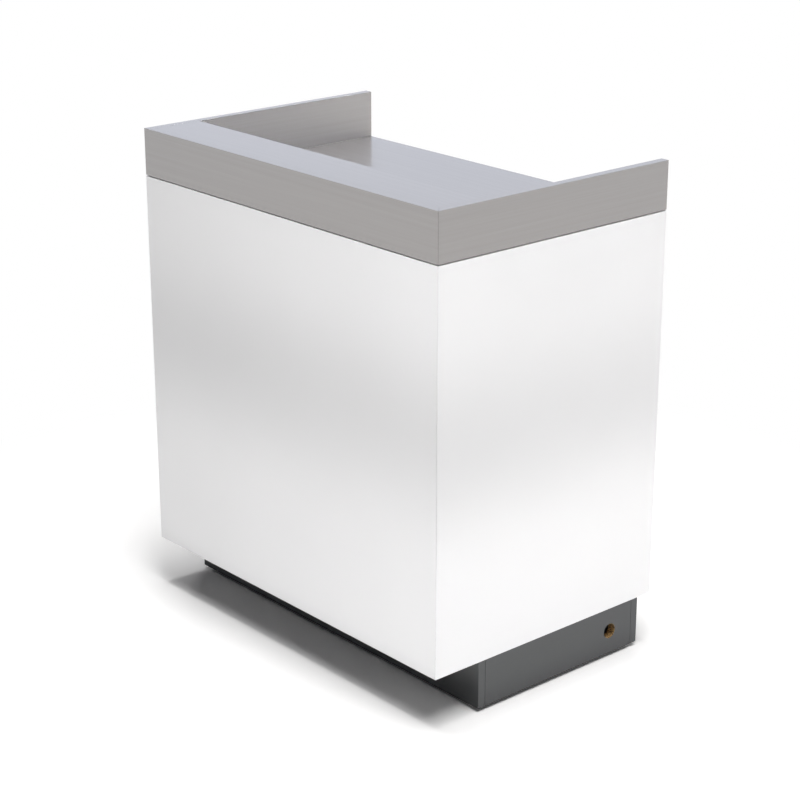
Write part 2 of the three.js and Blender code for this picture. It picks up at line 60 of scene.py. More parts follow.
# %% [markdown]
# ## The camera
# The desk is seen from the visitors' side, well round towards its drilled end, and from a little above
# its rim. The numbers are a camera fitted to the corners of the desk, with the picture 800 pixels wide.

# %% Camera
IMAGE_WIDTH = 800
SENSOR_WIDTH = 36.0
FOCAL_PIXELS = 2057
AZIMUTH = math.radians(48.93)
ELEVATION = math.radians(19.75)
DISTANCE = 4.256
AIM = Vector((0.008, -0.001, 0.4816))

towards_camera = Vector((
    math.sin(AZIMUTH) * math.cos(ELEVATION),
    -math.cos(AZIMUTH) * math.cos(ELEVATION),
    math.sin(ELEVATION),
))
bpy.ops.object.select_all(action="DESELECT")
bpy.ops.object.camera_add(location=AIM + towards_camera * DISTANCE)
camera = bpy.context.object
camera.rotation_euler = towards_camera.to_track_quat("Z", "Y").to_euler()
camera.data.sensor_width = SENSOR_WIDTH
camera.data.lens = SENSOR_WIDTH * FOCAL_PIXELS / IMAGE_WIDTH
bpy.context.scene.camera = camera
bpy.context.scene.view_settings.view_transform = "Standard"
print("lens", round(camera.data.lens, 1), "mm")

# %% [markdown]
# ## Small helpers for materials
# Colours are written as the sRGB hex values that a paint chart would give, and shaders want linear
# light, so one function turns the first into the second. Another adds a node: its settings are the
# node's own choices, and its inputs are either values or the sockets that feed them. The third makes a
# material with no nodes yet.

# %% Colour and node helpers
def linear(code):
    """The linear RGBA of an sRGB hex code."""
    channels = [int(code[i:i + 2], 16) / 255 for i in (0, 2, 4)]
    return [c / 12.92 if c <= 0.04045 else ((c + 0.055) / 1.055) ** 2.4 for c in channels] + [1.0]


def add_node(tree, kind, inputs=None, **settings):
    made = tree.nodes.new("ShaderNode" + kind)
    for name, value in settings.items():
        setattr(made, name, value)
    for name, value in (inputs or {}).items():
        if isinstance(value, bpy.types.NodeSocket):
            tree.links.new(value, made.inputs[name])
        else:
            made.inputs[name].default_value = value
    return made


def empty_material(name):
    made = bpy.data.materials.new(name)
    made.use_nodes = True
    made.node_tree.nodes.clear()
    return made


print("mid grey 808080 is", round(linear("808080")[0], 3), "in linear light")

# %% [markdown]
# ## The studio
# The floor is a wide pale sheet. Close to the desk it is ordinary matt paint, so it takes the desk's
# shadow and throws light back up at the boards. The camera sees it lifted a little above white paint,
# as in a picture that was lightened afterwards, and it throws back less than that promises: a sheet that
# really was so bright would make the recessed plinth glow. Further out, the camera and the reflections
# in the desk see it as plain white, and so is the world beyond it, so no horizon shows from any side.

# %% Floor
FLOOR_SIZE = 14.0
FLOOR_DROP = 0.2 * MM
MATT_REACH, WHITE_REACH = 0.62, 1.45
SHEET_SEEN, SHEET_LIFT = "fffefd", 1.1
SHEET_BOUNCE = "c2c2c2"
WHITE = "ffffff"


def seeing_rays(tree):
    """Two sockets: 1 on rays from the camera, and 1 on those and the ones mirrored or let through."""
    rays = add_node(tree, "LightPath").outputs
    seen = add_node(tree, "Math", {0: rays["Is Camera Ray"], 1: rays["Is Glossy Ray"]}, operation="MAXIMUM")
    seen = add_node(tree, "Math", {0: seen.outputs[0], 1: rays["Is Transmission Ray"]}, operation="MAXIMUM")
    return rays["Is Camera Ray"], seen.outputs[0]


bpy.ops.object.select_all(action="DESELECT")
bpy.ops.mesh.primitive_plane_add(size=FLOOR_SIZE, location=(0, 0, -FLOOR_DROP))
floor = bpy.context.object
floor.name = "studio_floor"

paint = empty_material("studio_floor_paint")
tree = paint.node_tree
place = add_node(tree, "TexCoord").outputs["Object"]
away = add_node(tree, "VectorMath", {0: place}, operation="LENGTH").outputs["Value"]
fade = add_node(tree, "MapRange", {"Value": away, "From Min": MATT_REACH, "From Max": WHITE_REACH},
                interpolation_type="SMOOTHSTEP")
camera_ray, seen = seeing_rays(tree)
share = add_node(tree, "Math", {0: seen, 1: fade.outputs["Result"]}, operation="MULTIPLY")
lifted = [SHEET_LIFT * part for part in linear(SHEET_SEEN)]
sheet = add_node(tree, "Mix", {0: camera_ray, 6: linear(SHEET_BOUNCE), 7: lifted}, data_type="RGBA")
matt = add_node(tree, "BsdfDiffuse", {"Color": sheet.outputs[2]})
white = add_node(tree, "Emission", {"Color": linear(WHITE), "Strength": 1.0})
mixed = add_node(tree, "MixShader", {0: share.outputs[0], 1: matt.outputs[0], 2: white.outputs[0]})
add_node(tree, "OutputMaterial", {"Surface": mixed.outputs[0]})
floor.data.materials.append(paint)
print("floor", FLOOR_SIZE, "m across, matt up to", MATT_REACH, "m from its middle")

# %% World
AMBIENT = 0.04
SKY_TINT = "e9effe"

world = bpy.data.worlds.new("studio")
world.use_nodes = True
tree = world.node_tree
tree.nodes.clear()
camera_ray, seen = seeing_rays(tree)
level = add_node(tree, "MapRange", {"Value": seen, "To Min": AMBIENT, "To Max": 1.0})
tint = add_node(tree, "Mix", {0: camera_ray, 6: linear(SKY_TINT), 7: linear(WHITE)}, data_type="RGBA")
sky = add_node(tree, "Background", {"Color": tint.outputs[2], "Strength": level.outputs["Result"]})
add_node(tree, "OutputWorld", {"Surface": sky.outputs[0]})
bpy.context.scene.world = world
print("ambient light", AMBIENT)

# %% [markdown]
# ## The lamps
# Two wide soft boxes hang high above the desk, one over it and one off its drilled end, and give the
# shadow under the overhang. Lower ones would light an open drawer far more than the floor, and burn it
# out. A low box beside the drilled end makes it the lighter of the two near faces, and one behind opens
# up the shelves and the far end. The near faces also have a box each with a grid on it, which is what the
# narrow spread stands for: its light goes straight ahead and leaves the plinth in shade. These two are
# not evenly bright. They dim at half height, as a cloth does between two tubes behind it, and that gives
# the white faces their soft bands. A last small box looks over the near upstand at the inner side of the
# far one, which would be the darkest part of the rim without it.

# %% Lamps
GRID = 10
BAND = 0.25


def soft_box(name, place, aim, width, height, radiance, spread=180):
    """A rectangular lamp, in metres. Its face shines with a quarter of its watts per square metre."""
    bpy.ops.object.select_all(action="DESELECT")
    bpy.ops.object.light_add(type="AREA", location=place)
    lamp = bpy.context.object
    lamp.name = name
    lamp.data.shape = "RECTANGLE"
    lamp.data.size, lamp.data.size_y = width, height
    lamp.data.energy = 4 * width * height * radiance
    lamp.data.spread = math.radians(spread)
    lamp.rotation_euler = (Vector(place) - Vector(aim)).to_track_quat("Z", "Y").to_euler()
    lamp.visible_camera = lamp.visible_glossy = False
    return lamp


def grade(lamp, dip, above, below, aside):
    """Brighten a lamp's face above and below a dip, and to one side. Places are shares of the face."""
    lamp.data.use_nodes = True
    tree = lamp.data.node_tree
    tree.nodes.clear()
    face = add_node(tree, "NewGeometry").outputs["Parametric"]
    across, up, _ = add_node(tree, "SeparateXYZ", {0: face}).outputs
    over = {"Value": up, "From Min": dip, "From Max": dip + BAND, "To Min": 1.0, "To Max": above}
    over = add_node(tree, "MapRange", over, interpolation_type="SMOOTHSTEP").outputs[0]
    under = {"Value": up, "From Min": dip, "From Max": dip - BAND, "To Min": 1.0, "To Max": below}
    under = add_node(tree, "MapRange", under, interpolation_type="SMOOTHSTEP").outputs[0]
    slope = {"Value": across, "To Min": 1.0 - aside, "To Max": 1.0 + aside}
    slope = add_node(tree, "MapRange", slope).outputs[0]
    bands = add_node(tree, "Math", {0: over, 1: under}, operation="MULTIPLY").outputs[0]
    level = add_node(tree, "Math", {0: bands, 1: slope}, operation="MULTIPLY").outputs[0]
    glow = add_node(tree, "Emission", {"Strength": level})
    add_node(tree, "OutputLight", {"Surface": glow.outputs[0]})


soft_box("lamp_over", (0, -0.15, 7.0), (0, -0.15, 0.3), 2.6, 1.8, 15.5)
soft_box("lamp_corner", (2.7, -0.6, 6.8), (0, 0, 0.3), 3.5, 3.0, 6.4)
soft_box("lamp_beside", (2.6, 0.5, 0.3), (0.45, 0, 0.35), 1.2, 0.6, 5.3)
soft_box("lamp_staff", (-2.2, 2.4, 0.8), (-0.2, 0.1, 0.5), 1.6, 0.9, 9.0)
visitors_box = soft_box("lamp_visitors", (0, -1.0, 0.62), (0, 0, 0.62), 1.2, 1.06, 0.314, GRID)
grade(visitors_box, dip=0.47, above=1.42, below=1.42, aside=0.26)
end_box = soft_box("lamp_end", (1.15, 0, 0.56), (0, 0, 0.56), 0.9, 1.08, 0.09, GRID)
grade(end_box, dip=0.5, above=2.4, below=3.0, aside=-0.15)
soft_box("lamp_rim", (1.3, 0.06, 1.32), (-0.43, 0.06, 1.0), 0.55, 0.1, 1.1, GRID)

# %% [markdown]
# ## Melamine board
# The body is chipboard faced with melamine paper. The press plate leaves a fine pearl grain in it, which
# breaks up highlights without being seen as a pattern. It could be a picture, but noise in the object's
# own space needs no unwrapping and runs on from board to board. The grain is really under 1 mm and is
# drawn at 2.5 mm, because nothing finer shows at this distance.

# %% Melamine
PEARL, PEARL_DEPTH = 2.5 * MM, 0.1 * MM
CLOUD = 320 * MM
PEARL_GLOSS = 0.06


def begin_material(name):
    """An empty material, and where on the desk a point lies, in metres."""
    made = empty_material(name)
    return made, made.node_tree, add_node(made.node_tree, "TexCoord").outputs["Object"]


def finish_material(tree, inputs):
    """Join the inputs to a shader, and the shader to the surface."""
    shader = add_node(tree, "BsdfPrincipled", inputs)
    add_node(tree, "OutputMaterial", {"Surface": shader.outputs[0]})


def laminate(name, tone, shade, roughness, grain, shine=0.5):
    """Pressed melamine: a barely clouded tone under a fine pearl grain."""
    made, tree, place = begin_material(name)
    pearl = add_node(tree, "TexNoise", {"Vector": place, "Scale": 1 / PEARL, "Detail": 2.0}).outputs[0]
    cloud = add_node(tree, "TexNoise", {"Vector": place, "Scale": 1 / CLOUD, "Detail": 2.0}).outputs[0]
    colour = add_node(tree, "Mix", {0: cloud, 6: linear(tone), 7: linear(shade)}, data_type="RGBA")
    spread = {"Value": pearl, "To Min": roughness - PEARL_GLOSS, "To Max": roughness + PEARL_GLOSS}
    gloss = add_node(tree, "MapRange", spread)
    relief = add_node(tree, "Bump", {"Height": pearl, "Strength": grain, "Distance": PEARL_DEPTH})
    finish_material(tree, {
        "Base Color": colour.outputs[2],
        "Roughness": gloss.outputs[0],
        "Specular IOR Level": shine,
        "Normal": relief.outputs[0],
    })
    return made


# Satin white that stays calm over a whole panel
white_melamine = laminate("white_melamine", "f0efef", "eae9e9", roughness=0.34, grain=0.25)
# The plastic strip on a board's narrow sides, a touch glossier than the face
white_edging = laminate("white_abs_edging", "eeeded", "eae9e8", roughness=0.28, grain=0.1)
# Dark plinth board, so matt that it stays dark where no lamp reaches it
DULL = {"roughness": 0.5, "grain": 0.5, "shine": 0.12}
anthracite_melamine = laminate("anthracite_melamine", "5f5f60", "595a5a", **DULL)
print(white_melamine.name, white_edging.name, anthracite_melamine.name)

# %% [markdown]
# ## Brushed aluminium foil
# The rim and the worktop are faced with real aluminium foil, brushed along the board and lacquered. Under
# the lacquer the metal mirrors the room in a blur, so its tops look pale and its upright faces look grey.
# The strokes are noise that is stretched along the board. Real ones are about 0.3 mm apart and are drawn
# 1.2 mm apart here, with a broader streak over them, so that the direction of the brush can be read. The
# foil is drawn as little more than half metal, because on board it looks flatter than a solid sheet.

# %% Brushed foil
STROKE, STROKE_PITCH = 240 * MM, 1.2 * MM
STREAK, STREAK_PITCH = 800 * MM, 6 * MM
STROKE_DEPTH, STROKE_RELIEF = 0.05 * MM, 0.09
STROKE_GLOSS = 0.05
DARK_STROKES, PALE_STROKES = 0.1, 0.4
LACQUER_ROUGHNESS = 0.16


def brushed(name, axis, tone, shade, roughness, metal, coat):
    """Aluminium brushed along one axis: 0 is X, 1 is Y and 2 is Z."""
    made, tree, place = begin_material(name)
    fine, broad = [1 / STROKE_PITCH] * 3, [1 / STREAK_PITCH] * 3
    fine[axis], broad[axis] = 1 / STROKE, 1 / STREAK
    lay = add_node(tree, "Mapping", {"Vector": place, "Scale": fine}).outputs[0]
    strokes = add_node(tree, "TexNoise", {"Vector": lay, "Scale": 1.0, "Detail": 3.0}).outputs[0]
    lay = add_node(tree, "Mapping", {"Vector": place, "Scale": broad}).outputs[0]
    streaks = add_node(tree, "TexNoise", {"Vector": lay, "Scale": 1.0, "Detail": 2.0}).outputs[0]
    both = add_node(tree, "Math", {0: strokes, 1: streaks}, operation="MULTIPLY").outputs[0]
    span = {"Value": both, "From Min": DARK_STROKES, "From Max": PALE_STROKES}
    share = add_node(tree, "MapRange", span).outputs[0]
    colour = add_node(tree, "Mix", {0: share, 6: linear(shade), 7: linear(tone)}, data_type="RGBA")
    spread = {"Value": strokes, "To Min": roughness - STROKE_GLOSS, "To Max": roughness + STROKE_GLOSS}
    gloss = add_node(tree, "MapRange", spread)
    relief = {"Height": strokes, "Strength": STROKE_RELIEF, "Distance": STROKE_DEPTH}
    relief = add_node(tree, "Bump", relief)
    finish_material(tree, {
        "Base Color": colour.outputs[2],
        "Metallic": metal,
        "Roughness": gloss.outputs[0],
        "Normal": relief.outputs[0],
        "Coat Weight": coat,
        "Coat Roughness": LACQUER_ROUGHNESS,
    })
    return made


# Warm grey metal under a thin lacquer, one for each run of the boards
FOIL = {"tone": "a29e9b", "shade": "9c9895", "roughness": 0.42, "metal": 0.55, "coat": 1.0}
foil_along_x = brushed("brushed_foil_along_x", 0, **FOIL)
foil_along_y = brushed("brushed_foil_along_y", 1, **FOIL)
foil_upright = brushed("brushed_foil_upright", 2, **FOIL)
# The bow handle: solid metal, bead blasted and anodised, with only a trace of its drawing lines
satin_aluminium = brushed("anodised_aluminium", 0, "c9cacb", "bcbdbe", roughness=0.36, metal=1.0, coat=0.0)
print(foil_along_x.name, foil_along_y.name, foil_upright.name, satin_aluminium.name)

# %% [markdown]
# ## Chipboard and hardboard
# Where a board is drilled, its core shows: flakes of wood a few millimetres long, pale ones and brown ones,
# with gaps between them. Cells of a Voronoi pattern are a good stand-in for flakes. The drawer's bottom is
# hardboard, painted white on top and left brown and felted underneath.

# %% Board cores
FLAKE, FLAKE_DEPTH = 2.2 * MM, 0.8 * MM
FIBRE, FIBRE_DEPTH = 1.4 * MM, 0.1 * MM
CORE_ROUGHNESS, CORE_RELIEF = 0.85, 0.8


def wood_core(name, tone, shade, cell, depth):
    """Pressed wood: flakes or fibres of two tones, standing up a little from each other."""
    made, tree, place = begin_material(name)
    flakes = add_node(tree, "TexVoronoi", {"Vector": place, "Scale": 1 / cell, "Randomness": 1.0}).outputs
    tint = add_node(tree, "SeparateColor", {0: flakes["Color"]}).outputs[0]
    colour = add_node(tree, "Mix", {0: tint, 6: linear(tone), 7: linear(shade)}, data_type="RGBA")
    relief = {"Height": flakes["Distance"], "Strength": CORE_RELIEF, "Distance": depth}
    relief = add_node(tree, "Bump", relief)
    finish_material(tree, {
        "Base Color": colour.outputs[2],
        "Roughness": CORE_ROUGHNESS,
        "Normal": relief.outputs[0],
    })
    return made


# Torn flakes, honey to brown, that read as bare wood even inside a small hole
chipboard = wood_core("raw_chipboard", "dcb67c", "4c3420", FLAKE, FLAKE_DEPTH)
# Even, dry brown with a felt-like nap
raw_hardboard = wood_core("raw_hardboard", "7d5a3c", "6d4c30", FIBRE, FIBRE_DEPTH)
# Thin white paint that lets the nap through
painted_hardboard = laminate("painted_hardboard", "e6e4e0", "dfdcd7", roughness=0.5, grain=0.6)
print(chipboard.name, raw_hardboard.name, painted_hardboard.name)

# %% [markdown]
# ## Metal and nylon fittings
# The hidden fittings are zinc-plated steel, steel with a baked white coat, and moulded nylon. Each has a
# small-scale unevenness of its own: plating has crystals, a baked coat has orange peel, and a mould has
# a spark-eroded grain. One function makes all of them from the size and depth of that unevenness.

# %% Fittings
SKIN_GLOSS, SKIN_RELIEF = 0.08, 0.5


def fitting(name, tone, shade, metal, roughness, cell, depth):
    """A fitting's skin: two close tones and a matching relief of the given cell size."""
    made, tree, place = begin_material(name)
    skin = add_node(tree, "TexNoise", {"Vector": place, "Scale": 1 / cell, "Detail": 3.0}).outputs[0]
    colour = add_node(tree, "Mix", {0: skin, 6: linear(tone), 7: linear(shade)}, data_type="RGBA")
    spread = {"Value": skin, "To Min": roughness - SKIN_GLOSS, "To Max": roughness + SKIN_GLOSS}
    gloss = add_node(tree, "MapRange", spread)
    relief = add_node(tree, "Bump", {"Height": skin, "Strength": SKIN_RELIEF, "Distance": depth})
    finish_material(tree, {
        "Base Color": colour.outputs[2],
        "Metallic": metal,
        "Roughness": gloss.outputs[0],
        "Normal": relief.outputs[0],
    })
    return made


# Cool, slightly mottled plating
zinc_steel = fitting("zinc_plated_steel", "b9bcc0", "a3a6aa", 1.0, 0.32, 1.5 * MM, 0.02 * MM)
# Creamy baked coat with the ripple of orange peel
white_steel = fitting("white_coated_steel", "e9e8e4", "e3e2dd", 0.0, 0.3, 2.0 * MM, 0.04 * MM)
# Matt moulded black that never quite goes flat
black_nylon = fitting("moulded_black_nylon", "242425", "1a1a1b", 0.0, 0.52, 0.8 * MM, 0.05 * MM)
# Waxy, faintly warm white
white_nylon = fitting("moulded_white_nylon", "efeee8", "e8e6df", 0.0, 0.42, 0.8 * MM, 0.03 * MM)
print(zinc_steel.name, white_steel.name, black_nylon.name, white_nylon.name)

# %% [markdown]
# ## Tools for boards
# Every board begins as a cube, sized to the box of the node that it stands for, with edging on its narrow
# sides. A mitre is then sawn by drawing in the inner face, and the remaining edges are eased with a bevel,
# as a trimmer leaves them. Crisp edges look like paper; an eased one catches a line of light. A face counts
# as looking along an axis if nearly all of its normal does.

# %% Board tools
FACING = 0.9
EASE_STEPS = 2
ROUNDED = math.radians(35)


def only(made):
    """Select just this object, and make it the active one."""
    bpy.ops.object.select_all(action="DESELECT")
    made.select_set(True)
    bpy.context.view_layer.objects.active = made


def pick(made, kind, test):
    """In edit mode, select just the vertices, edges or faces that pass the test."""
    bpy.ops.mesh.select_mode(type=kind)
    bpy.ops.mesh.select_all(action="DESELECT")
    mesh = bmesh.from_edit_mesh(made.data)
    for item in {"VERT": mesh.verts, "EDGE": mesh.edges, "FACE": mesh.faces}[kind]:
        if test(item):
            item.select_set(True)
    bmesh.update_edit_mesh(made.data)


def add_box(name, low, high, material):
    bpy.ops.object.select_all(action="DESELECT")
    low, high = Vector(low), Vector(high)
    bpy.ops.mesh.primitive_cube_add(size=1, location=(low + high) / 2, scale=high - low)
    bpy.ops.object.transform_apply(location=True, rotation=True, scale=True)
    made = bpy.context.object
    made.name = name
    made.data.materials.append(material)
    return made


def add_board(node, face, edging):
    """A board that fills the node's box, with the edging on its four narrow sides."""
    low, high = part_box(node)
    made = add_box(node + "_board", low, high, face)
    if edging != face:
        made.data.materials.append(edging)
        spans = list(high - low)
        through = spans.index(min(spans))
        for side in made.data.polygons:
            side.material_index = 0 if abs(side.normal[through]) > FACING else 1
    return made


def is_square(edge):
    """Not on a mitre: each face beside the edge looks straight along an axis."""
    return all(max(abs(part) for part in face.normal) > FACING for face in edge.link_faces)


def ease(made, width, test=is_square):
    """Round over the edges that pass the test."""
    only(made)
    bpy.ops.object.mode_set(mode="EDIT")
    pick(made, "EDGE", test)
    bpy.ops.mesh.bevel(offset=width, segments=EASE_STEPS, affect="EDGES")
    bpy.ops.object.mode_set(mode="OBJECT")


def dress(made, node):
    """Let a piece stand for its node: on its body, smooth where rounded, flat where flat."""
    only(made)
    bpy.ops.object.shade_smooth_by_angle(angle=ROUNDED)
    flats = made.modifiers.new("flats", "WEIGHTED_NORMAL")
    flats.keep_sharp = True
    bpy.ops.object.modifier_apply(modifier=flats.name)
    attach(made, body_of[node])
    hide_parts(node)


print("board tools ready")

# %% [markdown]
# ## Mitres and cuts
# The front and the ends meet in mitres, so the white faces run to the very corner and no joint shows. A
# front board loses a wedge at both ends and an end board at one. The sharp edges of a mitre are glued
# shut, so they stay crisp. Rebates, holes and slots are cut with a second solid instead. Where places are
# compared, a tenth of a millimetre apart still counts as one place.

# %% Mitre tools
NEAR = 0.1 * MM


def mitre_front(made, node):
    """Saw both ends of a board across the front, by drawing in its inner face."""
    low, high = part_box(node)
    middle = (low + high) / 2
    narrower = 1 - 2 * (high.y - low.y) / (high.x - low.x)
    only(made)
    bpy.ops.object.mode_set(mode="EDIT")
    pick(made, "FACE", lambda face: face.normal.y > FACING)
    bpy.ops.transform.resize(value=(narrower, 1, 1), center_override=middle)
    bpy.ops.object.mode_set(mode="OBJECT")


def mitre_end(made, node):
    """Saw the front of an end board, by drawing back its inner upright edge."""
    low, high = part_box(node)
    inner_x = low.x if low.x > 0 else high.x
    only(made)
    bpy.ops.object.mode_set(mode="EDIT")
    pick(made, "VERT", lambda vert: vert.co.y < 0 and abs(vert.co.x - inner_x) < NEAR)
    bpy.ops.transform.translate(value=(0, high.x - low.x, 0))
    bpy.ops.object.mode_set(mode="OBJECT")


print("mitre tools ready")

# %% Cutting tool
def cut_away(made, cutter):
    """Take the cutter out of a piece. The walls of the cut take the cutter's material."""
    only(made)
    cut = made.modifiers.new("cut", "BOOLEAN")
    cut.operation = "DIFFERENCE"
    cut.solver = "EXACT"
    cut.material_mode = "TRANSFER"
    cut.object = cutter
    bpy.ops.object.modifier_apply(modifier=cut.name)
    bpy.data.objects.remove(cutter)


print("cutting tool ready")

# %% [markdown]
# ## The gallery and its ledge
# The metal rim stands on the white body like a shallow U: a fascia, two upstands, and a ledge behind the
# fascia. A narrow rebate along its foot keeps a dark line between metal and white. It is cut with boxes
# that stand a little outside each face, and the upper arris is eased so that it carries a bright line. Each
# end of the desk has a name, and the way it looks along X.

# %% Gallery
REBATE_HEIGHT, REBATE_DEPTH = 2 * MM, 4 * MM
ARRIS, LIGHT_EASE = 0.8 * MM, 0.2 * MM
SPARE = 20 * MM
ENDS = {"left": -1, "right": 1}

rim_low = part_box("gallery_front")[0]
rim_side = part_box("gallery_side_right")[1]
rebate_top = rim_low.z + REBATE_HEIGHT


def outer_arris(edge):
    """The top edge along an outer face of the gallery."""
    ends = [vert.co for vert in edge.verts]
    along_front = all(end.y < rim_low.y + NEAR for end in ends)
    along_side = all(abs(end.x) > rim_side.x - NEAR for end in ends)
    return all(end.z > rim_side.z - NEAR for end in ends) and (along_front or along_side)


def rebate(made, material):
    """Cut the dark line's rebate along the foot of the outer faces."""
    foot = rim_low.z - SPARE
    right = rim_side.x
    far = rim_side.y + SPARE
    strips = [
        ((-right - SPARE, rim_low.y - SPARE, foot), (right + SPARE, rim_low.y + REBATE_DEPTH, rebate_top)),
        ((right - REBATE_DEPTH, rim_low.y - SPARE, foot), (right + SPARE, far, rebate_top)),
        ((-right - SPARE, rim_low.y - SPARE, foot), (REBATE_DEPTH - right, far, rebate_top)),
    ]
    for low, high in strips:
        cut_away(made, add_box("rebate", low, high, material))


piece = add_board("gallery_front", foil_along_x, foil_along_x)
mitre_front(piece, "gallery_front")
ease(piece, ARRIS, outer_arris)
rebate(piece, foil_along_x)
dress(piece, "gallery_front")

for end in ENDS:
    node = "gallery_side_" + end
    piece = add_board(node, foil_along_y, foil_along_y)
    # The narrow side towards the staff is brushed upright
    piece.data.materials.append(foil_upright)
    for side in piece.data.polygons:
        if side.normal.y > FACING:
            side.material_index = 1
    mitre_end(piece, node)
    ease(piece, ARRIS, outer_arris)
    rebate(piece, foil_along_y)
    dress(piece, node)

for node in ("ledge_top", "ledge_back", "worktop"):
    piece = add_board(node, foil_along_x, foil_along_x)
    ease(piece, LIGHT_EASE)
    dress(piece, node)
print("gallery, ledge and worktop dressed")

# %% [markdown]
# ## The white carcass
# The front and end panels are mitred like the gallery. The inner boards are plain. Holes come last, bored
# with cylinders, and their walls show the chipboard core. Holes that keep clear of each other share a
# cutter, and those that run into one another are bored in turn.

# %% Drills
def join(pieces):
    """Make one object of several, named after the first."""
    only(pieces[0])
    for other in pieces[1:]:
        other.select_set(True)
    if len(pieces) > 1:
        bpy.ops.object.join()
    return pieces[0]


def add_drills(holes, material, facets=24):
    """One cutter for a set of round holes, each with a radius, a start and an end."""
    rods = []
    for radius, start_at, end_at in holes:
        run = Vector(end_at) - Vector(start_at)
        bpy.ops.mesh.primitive_cylinder_add(
            vertices=facets,
            radius=radius,
            depth=run.length,
            location=(Vector(end_at) + Vector(start_at)) / 2,
            rotation=run.to_track_quat("Z", "Y").to_euler(),
        )
        bpy.ops.object.transform_apply(location=True, rotation=True, scale=True)
        bpy.context.object.data.materials.append(material)
        rods.append(bpy.context.object)
    return join(rods)


def centre(node):
    low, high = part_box(node)
    return (low + high) / 2


print("drills ready")

# %% Front and end panels
ROWS = ("front", "rear")
BOARD_EASE = 0.5 * MM
PIN_PITCH, PIN_HOLES = 32 * MM, 5
PIN_HOLE_RADIUS, PIN_DEPTH = 2.8 * MM, 10.3 * MM
BOLT_HOLE_RADIUS, BOLT_DEPTH = 2.8 * MM, 11.3 * MM

piece = add_board("front_panel", white_melamine, white_edging)
mitre_front(piece, "front_panel")
ease(piece, BOARD_EASE)
dress(piece, "front_panel")

for end, hand in ENDS.items():
    node = "side_panel_" + end
    piece = add_board(node, white_melamine, white_edging)
    mitre_end(piece, node)
    ease(piece, BOARD_EASE)
    low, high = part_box(node)
    inner_x = low.x if hand > 0 else high.x
    before = inner_x - hand * SPARE
    holes = []
    for row in ROWS:
        pin = centre(f"shelf_pin_{row}_{end}")
        for i in range(PIN_HOLES):
            z = pin.z + (i - (PIN_HOLES - 1) / 2) * PIN_PITCH
            holes.append((PIN_HOLE_RADIUS, (before, pin.y, z), (inner_x + hand * PIN_DEPTH, pin.y, z)))
        bolt = centre(f"deck_bolt_{row}_{end}")
        reach = inner_x + hand * BOLT_DEPTH
        holes.append((BOLT_HOLE_RADIUS, (before, bolt.y, bolt.z), (reach, bolt.y, bolt.z)))
    cut_away(piece, add_drills(holes, chipboard))
    dress(piece, node)
    print(node, "with", len(holes), "bores")

# %% Inner boards
GROMMET_HOLE_RADIUS = 30 * MM
CAM_POCKET_RADIUS, CAM_POCKET_DEPTH = 7.8 * MM, 12.8 * MM
BOLT_BORE_RADIUS = 3.3 * MM

for node in ("drawer_partition", "adjustable_shelf"):
    piece = add_board(node, white_melamine, white_edging)
    ease(piece, BOARD_EASE)
    dress(piece, node)

piece = add_board("bottom_panel", white_melamine, white_edging)
ease(piece, BOARD_EASE)
low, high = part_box("bottom_panel")
hole = centre("cable_grommet")
run = (hole.x, hole.y, low.z - SPARE), (hole.x, hole.y, high.z + SPARE)
cut_away(piece, add_drills([(GROMMET_HOLE_RADIUS, *run)], chipboard, facets=64))
dress(piece, "bottom_panel")

piece = add_board("deck", white_melamine, white_edging)
ease(piece, BOARD_EASE)
low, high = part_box("deck")
for end, hand in ENDS.items():
    for row in ROWS:
        cam = centre(f"deck_cam_{row}_{end}")
        bolt = centre(f"deck_bolt_{row}_{end}")
        pocket = (cam.x, cam.y, low.z - SPARE), (cam.x, cam.y, low.z + CAM_POCKET_DEPTH)
        cut_away(piece, add_drills([(CAM_POCKET_RADIUS, *pocket)], chipboard, facets=48))
        bore = (cam.x, cam.y, bolt.z), (hand * (high.x + SPARE), cam.y, bolt.z)
        cut_away(piece, add_drills([(BOLT_BORE_RADIUS, *bore)], chipboard))
dress(piece, "deck")
print("inner boards dressed")

# %% [markdown]
# ## The plinth
# Four dark boards make the plinth. Its front and rear boards run through and the end boards sit between
# them, so a thin joint shows near each corner of the end faces. The easing is wider here so that the joint
# can be seen. One end board is drilled for a cable, and a drill tears chipboard: the cutter is a tube
# of many rings whose points are shaken at random from a fixed seed.

# %% Plinth boards
PLINTH_EASE = 1.2 * MM

for node in ("plinth_front", "plinth_rear", "plinth_side_left"):
    piece = add_board(node, anthracite_melamine, anthracite_melamine)
    ease(piece, PLINTH_EASE)
    dress(piece, node)
print("three plinth boards dressed")

# %% [markdown]
# ## Turned pieces
# Feet, pins, rollers, screws and the hole's cutter are all round. Each is turned from a short list of
# radius and height pairs: a circle is drawn out from each pair to the next, as a potter pulls up a wall. A
# profile that ends where it began makes a ring, and any other is closed with flat ends.

# %% Turning
WELD = 0.001 * MM


